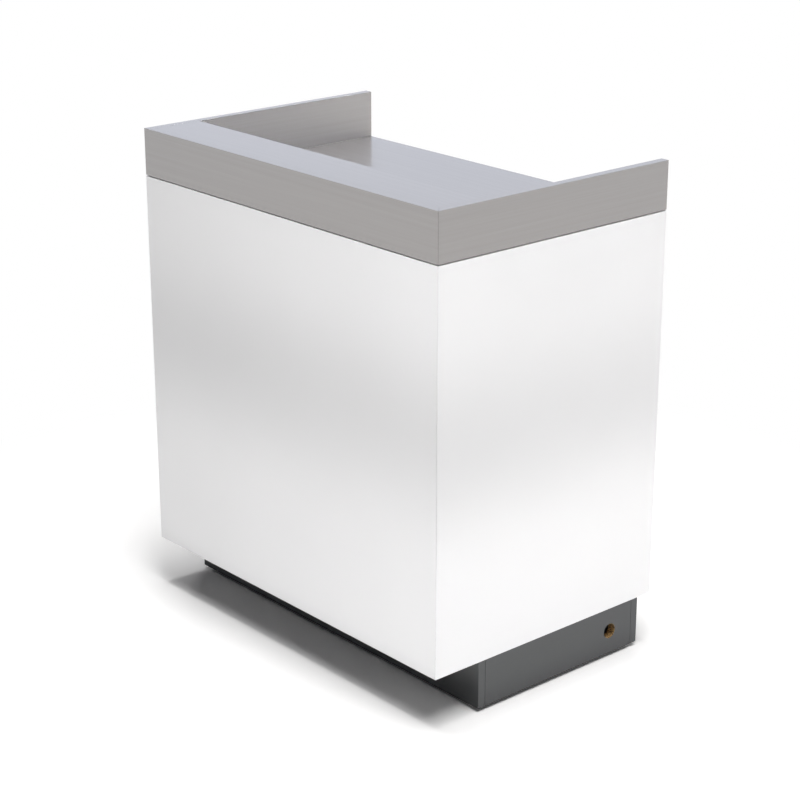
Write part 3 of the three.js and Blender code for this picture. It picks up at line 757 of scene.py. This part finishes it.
def turn(name, profile, material, facets=48):
    """Turn radius and height pairs, in millimetres, about Z."""
    (radius, height), *others = profile
    bpy.ops.object.select_all(action="DESELECT")
    bpy.ops.mesh.primitive_circle_add(vertices=facets, radius=radius * MM, location=(0, 0, height * MM))
    bpy.ops.object.transform_apply(location=True, rotation=True, scale=True)
    made = bpy.context.object
    made.name = name
    made.data.materials.append(material)
    bpy.ops.object.mode_set(mode="EDIT")
    bpy.ops.mesh.select_mode(type="EDGE")
    bpy.ops.mesh.select_all(action="SELECT")
    for next_radius, next_height in others:
        rise = (next_height - height) * MM
        bpy.ops.mesh.extrude_region_move(TRANSFORM_OT_translate={"value": (0, 0, rise)})
        grow = next_radius / radius
        bpy.ops.transform.resize(value=(grow, grow, 1), center_override=(0, 0, 0))
        radius, height = next_radius, next_height
    bpy.ops.mesh.select_all(action="SELECT")
    bpy.ops.mesh.remove_doubles(threshold=WELD)
    bpy.ops.mesh.fill_holes(sides=0)
    bpy.ops.mesh.select_all(action="SELECT")
    bpy.ops.mesh.normals_make_consistent(inside=False)
    bpy.ops.object.mode_set(mode="OBJECT")
    return made


def set_at(made, place, turned=(0, 0, 0)):
    """Turn a piece by degrees about X, Y and Z, then put its origin at a place for good."""
    only(made)
    made.rotation_euler = [math.radians(angle) for angle in turned]
    made.location = place
    bpy.ops.object.transform_apply(location=True, rotation=True, scale=True)


def copy_of(made, name):
    """A copy with a mesh of its own."""
    only(made)
    bpy.ops.object.duplicate()
    bpy.context.object.name = name
    return bpy.context.object


print("turning ready")

# %% Drilled plinth board
CABLE_RADIUS, RING_GAP, RINGS = 16, 2, 21
CABLE_FROM_REAR = 81 * MM
TEAR = 0.5 * MM
DRILL_SEED = 4

piece = add_board("plinth_side_right", anthracite_melamine, anthracite_melamine)
ease(piece, PLINTH_EASE)
first_ring = -RING_GAP * (RINGS // 2)
wall = [(CABLE_RADIUS, first_ring + i * RING_GAP) for i in range(RINGS)]
drill = turn("drill", wall, chipboard, facets=64)
only(drill)
bpy.ops.object.mode_set(mode="EDIT")
bpy.ops.mesh.select_all(action="SELECT")
bpy.ops.transform.vertex_random(offset=TEAR, uniform=1.0, normal=0.0, seed=DRILL_SEED)
bpy.ops.object.mode_set(mode="OBJECT")
middle = centre("plinth_side_right")
cable_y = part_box("plinth_rear")[1].y - CABLE_FROM_REAR
set_at(drill, (middle.x, cable_y, middle.z), (0, 90, 0))
cut_away(piece, drill)
dress(piece, "plinth_side_right")
print("plinth drilled at", round(cable_y / MM, 1), "mm")

# %% [markdown]
# ## Feet
# The plinth stands clear of the floor on four screw feet. A nylon block in each corner takes a threaded
# stem, and the stem turns in a round pad. The thread is a real helix: a small V is swept round by Screw,
# welded to itself and trimmed at both ends. Pad and stem are made once and copied to the four corners.

# %% Foot masters
STEM_RADIUS, STEM_PITCH = 4.0 * MM, 1.25 * MM
STEM_SLOT, STEM_SLOT_DEPTH = 1.2 * MM, 2 * MM
THREAD_STEPS, TRIMMED_TURNS = 24, 5


def add_thread(length):
    """A threaded rod from z = 0 up, closed at both ends."""
    half = STEM_PITCH / 2
    core = STEM_RADIUS - half
    bpy.ops.object.select_all(action="DESELECT")
    bpy.ops.mesh.primitive_circle_add(
        vertices=4,
        radius=half,
        location=(core, 0, length + 2 * STEM_PITCH),
        rotation=(math.pi / 2, 0, 0),
    )
    bpy.ops.object.transform_apply(location=True, rotation=True, scale=True)
    made = bpy.context.object
    made.data.materials.append(zinc_steel)
    bpy.ops.object.mode_set(mode="EDIT")
    pick(made, "VERT", lambda vert: vert.co.x < core - half / 2)
    bpy.ops.mesh.delete(type="VERT")
    bpy.ops.mesh.select_all(action="SELECT")
    turns = round(length / STEM_PITCH) + TRIMMED_TURNS
    bpy.ops.mesh.screw(steps=THREAD_STEPS, turns=turns, center=(0, 0, 0), axis=(0, 0, 1))
    bpy.ops.mesh.select_all(action="SELECT")
    bpy.ops.mesh.remove_doubles(threshold=WELD)
    for height, above in ((0, False), (length, True)):
        bpy.ops.mesh.select_all(action="SELECT")
        bpy.ops.mesh.bisect(
            plane_co=(0, 0, height),
            plane_no=(0, 0, 1),
            use_fill=True,
            clear_inner=not above,
            clear_outer=above,
            threshold=WELD,
        )
    bpy.ops.mesh.select_all(action="SELECT")
    bpy.ops.mesh.normals_make_consistent(inside=False)
    bpy.ops.object.mode_set(mode="OBJECT")
    return made


stem_low, stem_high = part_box("foot_stem_front_left")
stem_length = stem_high.z - stem_low.z
stem = add_thread(stem_length)
slot_low = (-SPARE, -STEM_SLOT / 2, stem_length - STEM_SLOT_DEPTH)
slot_high = (SPARE, STEM_SLOT / 2, stem_length + SPARE)
cut_away(stem, add_box("slot", slot_low, slot_high, zinc_steel))

PAD = [(16.6, 0), (17.6, 0.4), (18, 1.2), (18, 2.6), (17.7, 3), (9.6, 7), (8.8, 7.5), (8.2, 7.7),
       (4.7, 7.7), (4.3, 7.3), (4.3, 3.2)]
pad = turn("pad", PAD, black_nylon, facets=64)
print("stem", round(stem_length / MM, 1), "mm,", len(stem.data.polygons), "faces")

# %% Four feet
BLOCK_EASE = 1.2 * MM
BLOCK_BORE_RADIUS = 4.3 * MM

for row in ROWS:
    for end in ENDS:
        corner = f"{row}_{end}"
        node = "foot_block_" + corner
        low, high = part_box(node)
        middle = (low + high) / 2
        piece = add_box(node + "_moulding", low, high, black_nylon)
        ease(piece, BLOCK_EASE)
        run = (middle.x, middle.y, low.z - SPARE), (middle.x, middle.y, high.z + SPARE)
        cut_away(piece, add_drills([(BLOCK_BORE_RADIUS, *run)], black_nylon, facets=32))
        dress(piece, node)

        node = "foot_pad_" + corner
        piece = copy_of(pad, node + "_turned")
        set_at(piece, (middle.x, middle.y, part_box(node)[0].z))
        dress(piece, node)

        node = "foot_stem_" + corner
        piece = copy_of(stem, node + "_thread")
        set_at(piece, (middle.x, middle.y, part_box(node)[0].z))
        dress(piece, node)
bpy.data.objects.remove(pad)
bpy.data.objects.remove(stem)
print("four feet set")

# %% [markdown]
# ## Cable grommet, pins and cams
# A nylon ring lines the cable hole in the bottom board. Plated pins carry the loose shelf, and cams in the
# deck's underside draw it up to the end panels. A cross recess is a cube whose four sides are drawn out
# into arms; cut into a head, it says at once that the piece is a screw.

# %% Grommet
RING = [(27.2, 0), (29.7, 0), (29.7, 18.3), (35, 18.3), (35, 19.4), (34.2, 20.1), (33.4, 20.3),
        (28.4, 20.3), (27.6, 20.0), (27.2, 19.3), (27.2, 0)]

low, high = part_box("cable_grommet")
middle = (low + high) / 2
piece = turn("cable_grommet_ring", RING, black_nylon, facets=96)
set_at(piece, (middle.x, middle.y, low.z))
dress(piece, "cable_grommet")
print("grommet", round((high.x - low.x) / MM, 1), "mm across")

# %% Shelf pins
PIN = [(2.1, -10), (2.5, -9.6), (2.5, 0.3), (3.3, 0.3), (3.5, 0.5), (3.5, 1.3), (3.3, 1.5), (2.5, 1.5),
       (2.5, 8.6), (2.1, 9)]

pin = turn("pin", PIN, zinc_steel, facets=32)
buried = -PIN[0][1] * MM
for end, hand in ENDS.items():
    for row in ROWS:
        node = f"shelf_pin_{row}_{end}"
        low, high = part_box(node)
        middle = (low + high) / 2
        seat = low.x + buried if hand < 0 else high.x - buried
        piece = copy_of(pin, node + "_turned")
        set_at(piece, (seat, middle.y, middle.z), (0, -90 * hand, 0))
        dress(piece, node)
bpy.data.objects.remove(pin)
print("four shelf pins set")

# %% Cross recess
CROSS_TAPER = 0.55


def add_cross(arm, width, depth):
    """A cutter for a cross recess at the origin, narrowing as it goes up from z = 0."""
    half = width / 2
    made = add_box("cross", (-half, -half, -depth), (half, half, depth), zinc_steel)
    bpy.ops.object.mode_set(mode="EDIT")
    pick(made, "FACE", lambda face: abs(face.normal.z) < FACING)
    bpy.ops.mesh.extrude_faces_move(TRANSFORM_OT_shrink_fatten={"value": arm - half})
    pick(made, "FACE", lambda face: face.normal.z > FACING)
    bpy.ops.transform.resize(value=(CROSS_TAPER, CROSS_TAPER, 1), center_override=(0, 0, 0))
    bpy.ops.object.mode_set(mode="OBJECT")
    return made


print("cross recess ready")

# %% Deck cams
CAM = [(7.1, 0), (7.5, 0.4), (7.5, 12.1), (7.1, 12.5)]
MOUTH_FROM, MOUTH_HALF, MOUTH_FLOOR = 3.2 * MM, 3.5 * MM, 5.5 * MM

cam = turn("cam", CAM, zinc_steel)
cut_away(cam, add_cross(arm=3.4 * MM, width=1.4 * MM, depth=3 * MM))
mouth_low = (MOUTH_FROM, -MOUTH_HALF, MOUTH_FLOOR)
cut_away(cam, add_box("mouth", mouth_low, (SPARE, MOUTH_HALF, SPARE), zinc_steel))
for end, hand in ENDS.items():
    half_turn = 0 if hand > 0 else 180
    for row in ROWS:
        node = f"deck_cam_{row}_{end}"
        middle = centre(node)
        piece = copy_of(cam, node + "_turned")
        set_at(piece, (middle.x, middle.y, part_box(node)[0].z), (0, 0, half_turn))
        dress(piece, node)
        bolt = frame["nodes"][f"deck_bolt_{row}_{end}"]
        bolt.data.materials.clear()
        bolt.data.materials.append(zinc_steel)
bpy.data.objects.remove(cam)
print("four cams set, four bolts plated")

# %% [markdown]
# ## The drawer
# The drawer is a box of thin melamine boards behind a thicker front, which stays a little inside the body.
# Its bottom is hardboard: white above and brown below, so its faces are told apart by where they look.

# %% Drawer boards
SCREW_HOLE_RADIUS = 2.3 * MM

piece = add_board("drawer_front", white_melamine, white_edging)
ease(piece, BOARD_EASE)
low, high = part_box("drawer_front")
holes = []
for end in ENDS:
    screw = centre("handle_screw_" + end)
    run = (screw.x, low.y - SPARE, screw.z), (screw.x, high.y + SPARE, screw.z)
    holes.append((SCREW_HOLE_RADIUS, *run))
cut_away(piece, add_drills(holes, chipboard))
dress(piece, "drawer_front")

for node in ("drawer_side_left", "drawer_side_right", "drawer_back"):
    piece = add_board(node, white_melamine, white_edging)
    ease(piece, BOARD_EASE)
    dress(piece, node)

piece = add_board("drawer_bottom", painted_hardboard, raw_hardboard)
for side in piece.data.polygons:
    if side.normal.z < -FACING:
        side.material_index = 1
ease(piece, LIGHT_EASE)
dress(piece, "drawer_bottom")
print("drawer boards dressed")

# %% [markdown]
# ## The bow handle
# The handle is one bent bar. A small plane is drawn out of the drawer front as the first leg, narrowed a
# little, spun through a right angle, drawn along as the grip, spun again and drawn back. The long edges are
# then softened for the hand. Spin keeps the bar's section, which a bevelled box would not.

# %% Handle
LEG, GRIP = 10 * MM, 8 * MM
BEND, BEND_STEPS = 5 * MM, 10
HANDLE_EASE, SHARP = 1.2 * MM, math.radians(57)

low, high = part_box("drawer_handle")
middle = (low + high) / 2
bpy.ops.object.select_all(action="DESELECT")
bpy.ops.mesh.primitive_plane_add(
    size=1,
    location=(high.x - LEG / 2, low.y, middle.z),
    rotation=(math.pi / 2, 0, 0),
)
piece = bpy.context.object
piece.name = "drawer_handle_bow"
piece.scale = (LEG, high.z - low.z, 1)
bpy.ops.object.transform_apply(location=True, rotation=True, scale=True)
piece.data.materials.append(satin_aluminium)
bend_y = high.y - GRIP - BEND
first_bend = (high.x - GRIP - BEND, bend_y, middle.z)
last_bend = (low.x + GRIP + BEND, bend_y, middle.z)
bpy.ops.object.mode_set(mode="EDIT")
bpy.ops.mesh.select_all(action="SELECT")
bpy.ops.mesh.extrude_region_move(TRANSFORM_OT_translate={"value": (0, bend_y - low.y, 0)})
bpy.ops.transform.resize(value=(GRIP / LEG, 1, 1), center_override=(high.x, bend_y, middle.z))
bpy.ops.mesh.spin(steps=BEND_STEPS, angle=-math.pi / 2, center=first_bend, axis=(0, 0, 1))
bpy.ops.mesh.extrude_region_move(TRANSFORM_OT_translate={"value": (last_bend[0] - first_bend[0], 0, 0)})
bpy.ops.mesh.spin(steps=BEND_STEPS, angle=-math.pi / 2, center=last_bend, axis=(0, 0, 1))
bpy.ops.mesh.extrude_region_move(TRANSFORM_OT_translate={"value": (0, low.y - bend_y, 0)})
bpy.ops.transform.resize(value=(LEG / GRIP, 1, 1), center_override=(low.x, low.y, middle.z))
bpy.ops.mesh.select_all(action="SELECT")
bpy.ops.mesh.remove_doubles(threshold=WELD)
bpy.ops.mesh.normals_make_consistent(inside=False)
bpy.ops.object.mode_set(mode="OBJECT")
ease(piece, HANDLE_EASE, lambda edge: edge.calc_face_angle(0) > SHARP)
dress(piece, "drawer_handle")
print("handle", [round(side / MM, 1) for side in piece.dimensions])

# %% Handle screws
SCREW = [(2.2, -2.4), (3.1, -2.2), (3.7, -1.6), (4, -0.7), (4, 0), (2, 0), (2, 29.9), (1.4, 30.6)]

screw = turn("screw", SCREW, zinc_steel, facets=32)
head_end = SCREW[0][1] * MM
cross = add_cross(arm=1.9 * MM, width=0.8 * MM, depth=1.5 * MM)
set_at(cross, (0, 0, head_end))
cut_away(screw, cross)
for end in ENDS:
    node = "handle_screw_" + end
    middle = centre(node)
    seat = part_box(node)[0].y - head_end
    piece = copy_of(screw, node + "_turned")
    set_at(piece, (middle.x, seat, middle.z), (-90, 0, 0))
    dress(piece, node)
bpy.data.objects.remove(screw)
print("two handle screws set")

# %% [markdown]
# ## Roller runners
# A runner is a strip of sheet steel, folded to a channel. So a plane is stood on edge as the web, its upper
# and lower edges are drawn out as the flanges, and the folds are rounded. Solidify then gives the sheet its
# thickness. The axle is riveted on, and the right-hand runner is the left one mirrored.

# %% Runner tools
STEEL = 1.2 * MM
FOLD, FOLD_STEPS = 1.4 * MM, 4


def fold_runner(name, y_span, web_x, z_span, upper, lower):
    """A folded strip along Y: its web stands at web_x, and its flanges reach out by upper and lower."""
    length, height = y_span[1] - y_span[0], z_span[1] - z_span[0]
    bpy.ops.object.select_all(action="DESELECT")
    bpy.ops.mesh.primitive_plane_add(
        size=1,
        location=(web_x, (y_span[0] + y_span[1]) / 2, (z_span[0] + z_span[1]) / 2),
        rotation=(0, math.pi / 2, 0),
    )
    made = bpy.context.object
    made.name = name
    made.scale = (height, length, 1)
    bpy.ops.object.transform_apply(location=True, rotation=True, scale=True)
    made.data.materials.append(white_steel)
    bpy.ops.object.mode_set(mode="EDIT")
    for level, reach in ((z_span[1], upper), (z_span[0], lower)):
        pick(made, "EDGE", lambda edge: all(abs(vert.co.z - level) < NEAR for vert in edge.verts))
        bpy.ops.mesh.extrude_region_move(TRANSFORM_OT_translate={"value": (reach, 0, 0)})
    pick(made, "EDGE", lambda edge: len(edge.link_faces) == 2)
    bpy.ops.mesh.bevel(offset=FOLD, segments=FOLD_STEPS, affect="EDGES")
    bpy.ops.object.mode_set(mode="OBJECT")
    sheet = made.modifiers.new("sheet", "SOLIDIFY")
    sheet.thickness = STEEL
    sheet.offset = 0
    sheet.use_even_offset = True
    bpy.ops.object.modifier_apply(modifier=sheet.name)
    bpy.ops.object.mode_set(mode="EDIT")
    bpy.ops.mesh.select_all(action="SELECT")
    bpy.ops.mesh.normals_make_consistent(inside=False)
    bpy.ops.object.mode_set(mode="OBJECT")
    return made


def mirror_at(made, x):
    """Mirror a piece across an upright plane, and turn its faces outwards again."""
    only(made)
    bpy.ops.object.mode_set(mode="EDIT")
    bpy.ops.mesh.select_all(action="SELECT")
    bpy.ops.transform.resize(value=(-1, 1, 1), center_override=(x, 0, 0))
    bpy.ops.mesh.normals_make_consistent(inside=False)
    bpy.ops.object.mode_set(mode="OBJECT")


print("runner tools ready")

# %% Rails, arms and rollers
AXLE = [(2, -4.1), (2, 3.5), (3, 3.5), (3.2, 3.7), (3.2, 4.2), (2.8, 4.5)]
ROLLER = [(2.3, -3), (4.6, -3), (4.8, -2.6), (6.2, -2.6), (6.4, -3), (7, -3), (7.5, -2.4), (7.5, 2.4),
          (7, 3), (6.4, 3), (6.2, 2.6), (4.8, 2.6), (4.6, 3), (2.3, 3), (2.3, -3)]
RAIL_LIP = 8.8 * MM
ARM_GAP = 0.3 * MM
MOUNT_HOLES, MOUNT_HOLE_RADIUS, MOUNT_HOLE_REACH = 3, 2.2 * MM, 5 * MM

bay_middle = centre("drawer_front").x
roller = turn("roller", ROLLER, white_nylon)
for kind, row, hand in (("rail", "front", 1), ("arm", "rear", -1)):
    node = f"runner_{kind}_left"
    low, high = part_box(node)
    y_span = (low.y, high.y)
    z_span = (low.z + STEEL / 2, high.z - STEEL / 2)
    if kind == "rail":
        web_x = low.x + STEEL / 2
        upper, lower = RAIL_LIP, high.x - web_x
    else:
        web_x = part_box("drawer_side_left")[0].x - ARM_GAP - STEEL / 2
        upper, lower = low.x - web_x, high.x - web_x
    left = fold_runner(node + "_folded", y_span, web_x, z_span, upper, lower)
    holes = []
    z = (low.z + high.z) / 2
    for i in range(MOUNT_HOLES):
        y = low.y + (high.y - low.y) * (i + 0.5) / MOUNT_HOLES
        run = (web_x - MOUNT_HOLE_REACH, y, z), (web_x + MOUNT_HOLE_REACH, y, z)
        holes.append((MOUNT_HOLE_RADIUS, *run))
    cut_away(left, add_drills(holes, white_steel, facets=16))
    axle = turn("axle", AXLE, zinc_steel, facets=24)
    set_at(axle, centre(f"runner_roller_{row}_left"), (0, 90 * hand, 0))
    join([left, axle])
    right = copy_of(left, f"runner_{kind}_right_folded")
    mirror_at(right, bay_middle)
    dress(left, node)
    dress(right, f"runner_{kind}_right")
    for end in ENDS:
        node = f"runner_roller_{row}_{end}"
        piece = copy_of(roller, node + "_turned")
        set_at(piece, centre(node), (0, 90, 0))
        dress(piece, node)
bpy.data.objects.remove(roller)
print("runners folded, four rollers set")
